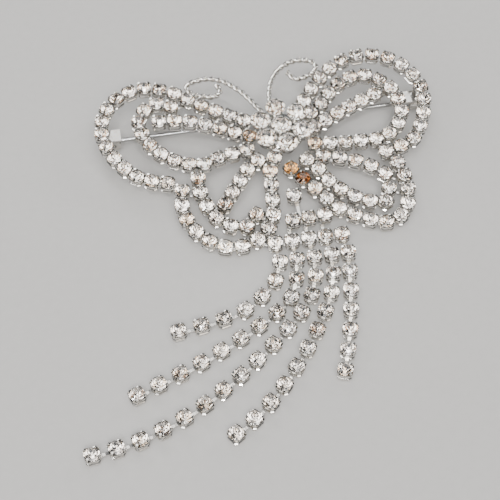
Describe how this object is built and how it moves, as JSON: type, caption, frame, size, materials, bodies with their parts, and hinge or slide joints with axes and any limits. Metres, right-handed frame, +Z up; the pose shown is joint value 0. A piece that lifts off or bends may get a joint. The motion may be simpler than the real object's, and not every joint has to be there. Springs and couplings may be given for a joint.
{
  "type": "brooch",
  "caption": "Butterfly brooch of looped crystal cup chain, stone flower centre, wire antennae, pin with rollover catch and a dangling tassel of hinged chain strands.",
  "frame": {"origin": "bottom centre of the bounding box, with the brooch lying on its back on a table", "axes": "+X along the pin from its joint to its catch, +Y from the tassel toward the antennae, +Z up out of the table through the stones"},
  "size_m": [0.0769, 0.0818, 0.0087],
  "materials": {
    "silver_plate": "bright silver-coloured plating over brass",
    "clear_crystal": "clear cut glass, foil backed",
    "steel_wire": "drawn steel wire, polished"
  },
  "bodies": {
    "butterfly": {"catch_housing": "silver_plate", "centre_setting": "silver_plate", "centre_stone": "clear_crystal", "flower_back_plate": "silver_plate", "head_petal_setting": "silver_plate", "head_petal_stone": "clear_crystal", "joint_bracket": "silver_plate", "joint_rivet": "steel_wire", "left_antenna": "silver_plate", "left_lower_inner_chain": "silver_plate", "left_lower_outer_chain": "silver_plate", "left_lower_vein": "silver_plate", "left_upper_inner_chain": "silver_plate", "left_upper_outer_chain": "silver_plate", "left_upper_vein": "silver_plate", "lower_rung": "silver_plate", "petal_1_setting": "silver_plate", "petal_1_stone": "clear_crystal", "petal_2_setting": "silver_plate", "petal_2_stone": "clear_crystal", "petal_3_setting": "silver_plate", "petal_3_stone": "clear_crystal", "petal_4_setting": "silver_plate", "petal_4_stone": "clear_crystal", "petal_5_setting": "silver_plate", "petal_5_stone": "clear_crystal", "right_antenna": "silver_plate", "right_lower_inner_chain": "silver_plate", "right_lower_outer_chain": "silver_plate", "right_lower_vein": "silver_plate", "right_upper_inner_chain": "silver_plate", "right_upper_outer_chain": "silver_plate", "right_upper_vein": "silver_plate", "rung_tie_link": "silver_plate", "tassel_bar": "silver_plate", "upper_rung": "silver_plate"},
    "pin_stem": {"pin_stem": "steel_wire"},
    "safety_barrel": {"safety_barrel": "silver_plate"},
    "strand_1_run_1": {"strand_1_run_1": "silver_plate"},
    "strand_1_run_2": {"strand_1_run_2": "silver_plate"},
    "strand_2_run_1": {"strand_2_run_1": "silver_plate"},
    "strand_2_run_2": {"strand_2_run_2": "silver_plate"},
    "strand_2_run_3": {"strand_2_run_3": "silver_plate"},
    "strand_3_run_1": {"strand_3_run_1": "silver_plate"},
    "strand_3_run_2": {"strand_3_run_2": "silver_plate"},
    "strand_3_run_3": {"strand_3_run_3": "silver_plate"},
    "strand_3_run_4": {"strand_3_run_4": "silver_plate"},
    "strand_4_run_1": {"strand_4_run_1": "silver_plate"},
    "strand_4_run_2": {"strand_4_run_2": "silver_plate"},
    "strand_4_run_3": {"strand_4_run_3": "silver_plate"},
    "strand_5_run_1": {"strand_5_run_1": "silver_plate"},
    "strand_5_run_2": {"strand_5_run_2": "silver_plate"}
  },
  "joints": [
    {"name": "pin_hinge", "type": "hinge", "parent": "butterfly", "child": "pin_stem", "pos_m": [-0.0254, 0.02928, 0.00166], "axis": [0, 0.9925, 0.1219], "range_deg": [0, 95]},
    {"name": "barrel_turn", "type": "hinge", "parent": "butterfly", "child": "safety_barrel", "pos_m": [0.0356, 0.02928, 0.00166], "axis": [1, 0, 0], "range_deg": [0, 150]},
    {"name": "strand_1_bend_1", "type": "hinge", "parent": "butterfly", "child": "strand_1_run_1", "pos_m": [0.00175, -0.00382, 0.0006], "axis": [-0.9998, -0.0193, 0], "range_deg": [-30, 45]},
    {"name": "strand_1_bend_2", "type": "hinge", "parent": "strand_1_run_1", "child": "strand_1_run_2", "pos_m": [-0.00908, -0.01552, 0.0006], "axis": [-0.2909, 0.9568, 0], "range_deg": [-30, 45]},
    {"name": "strand_2_bend_1", "type": "hinge", "parent": "butterfly", "child": "strand_2_run_1", "pos_m": [0.00497, -0.00381, 0.0006], "axis": [-0.9997, -0.0243, 0], "range_deg": [-30, 45]},
    {"name": "strand_2_bend_2", "type": "hinge", "parent": "strand_2_run_1", "child": "strand_2_run_2", "pos_m": [-0.00322, -0.01775, 0.0006], "axis": [-0.5297, 0.8482, 0], "range_deg": [-30, 45]},
    {"name": "strand_2_bend_3", "type": "hinge", "parent": "strand_2_run_2", "child": "strand_2_run_3", "pos_m": [-0.01858, -0.02543, 0.0006], "axis": [-0.3775, 0.926, 0], "range_deg": [-30, 45]},
    {"name": "strand_3_bend_1", "type": "hinge", "parent": "butterfly", "child": "strand_3_run_1", "pos_m": [0.00823, -0.00381, 0.0006], "axis": [-0.9989, -0.0478, 0], "range_deg": [-30, 45]},
    {"name": "strand_3_bend_2", "type": "hinge", "parent": "strand_3_run_1", "child": "strand_3_run_2", "pos_m": [0.00159, -0.01896, 0.0006], "axis": [-0.7049, 0.7094, 0], "range_deg": [-30, 45]},
    {"name": "strand_3_bend_3", "type": "hinge", "parent": "strand_3_run_2", "child": "strand_3_run_3", "pos_m": [-0.01182, -0.02971, 0.0006], "axis": [-0.5702, 0.8215, 0], "range_deg": [-30, 45]},
    {"name": "strand_3_bend_4", "type": "hinge", "parent": "strand_3_run_3", "child": "strand_3_run_4", "pos_m": [-0.02714, -0.03737, 0.0006], "axis": [-0.3226, 0.9465, 0], "range_deg": [-30, 45]},
    {"name": "strand_4_bend_1", "type": "hinge", "parent": "butterfly", "child": "strand_4_run_1", "pos_m": [0.0115, -0.00381, 0.0006], "axis": [-0.9973, -0.0736, 0], "range_deg": [-30, 45]},
    {"name": "strand_4_bend_2", "type": "hinge", "parent": "strand_4_run_1", "child": "strand_4_run_2", "pos_m": [0.00638, -0.01989, 0.0006], "axis": [-0.8496, 0.5275, 0], "range_deg": [-30, 45]},
    {"name": "strand_4_bend_3", "type": "hinge", "parent": "strand_4_run_2", "child": "strand_4_run_3", "pos_m": [-0.00429, -0.03333, 0.0006], "axis": [-0.7152, 0.6989, 0], "range_deg": [-30, 45]},
    {"name": "strand_5_bend_1", "type": "hinge", "parent": "butterfly", "child": "strand_5_run_1", "pos_m": [0.01469, -0.00381, 0.0006], "axis": [-0.9977, -0.0684, 0], "range_deg": [-30, 45]},
    {"name": "strand_5_bend_2", "type": "hinge", "parent": "strand_5_run_1", "child": "strand_5_run_2", "pos_m": [0.01181, -0.02071, 0.0006], "axis": [-0.9692, 0.2464, 0], "range_deg": [-30, 45]}
  ]
}
